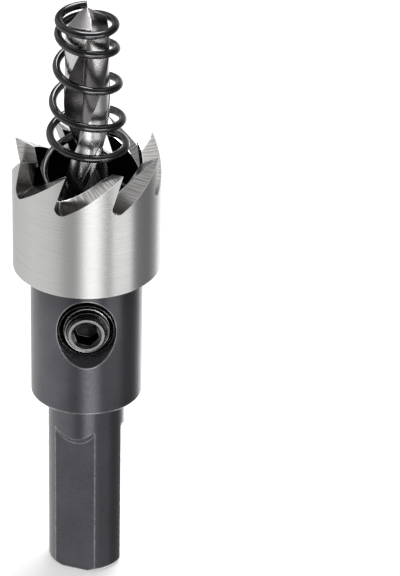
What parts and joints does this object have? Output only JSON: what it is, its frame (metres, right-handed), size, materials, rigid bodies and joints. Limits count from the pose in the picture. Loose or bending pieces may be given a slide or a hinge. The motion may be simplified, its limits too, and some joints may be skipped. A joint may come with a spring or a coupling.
{
  "type": "hole cutter",
  "caption": "Toothed steel cup cutter on a three-flat shank, with a clamped centre drill and a conical ejector spring, for cutting round holes in sheet metal.",
  "frame": {"origin": "centre of the shank's end face", "axes": "+Z along the tool's axis towards the drill point; -Y is the side with the set screw"},
  "size_m": [0.019, 0.019, 0.0806],
  "materials": {
    "ground_steel": "ground, with turning lines round the cup",
    "black_oxide": "satin black oxide on turned steel",
    "drill_steel": "ground flutes and lands",
    "spring_wire": "oiled black spring wire",
    "screw_black": "black oxide with bright edges"
  },
  "bodies": {
    "cutter": {"arbor": "black_oxide", "cutter_cup": "ground_steel", "pilot_drill": "drill_steel", "set_screw": "screw_black"},
    "ejector": {"ejector_spring": "spring_wire"}
  },
  "joints": [
    {"name": "spring_compression", "type": "slide", "parent": "cutter", "child": "ejector", "axis": [0, 0, -1], "range_m": [0, 0.0175], "stiffness_N_per_m": 1600, "deforming": ["ejector_spring"]}
  ]
}
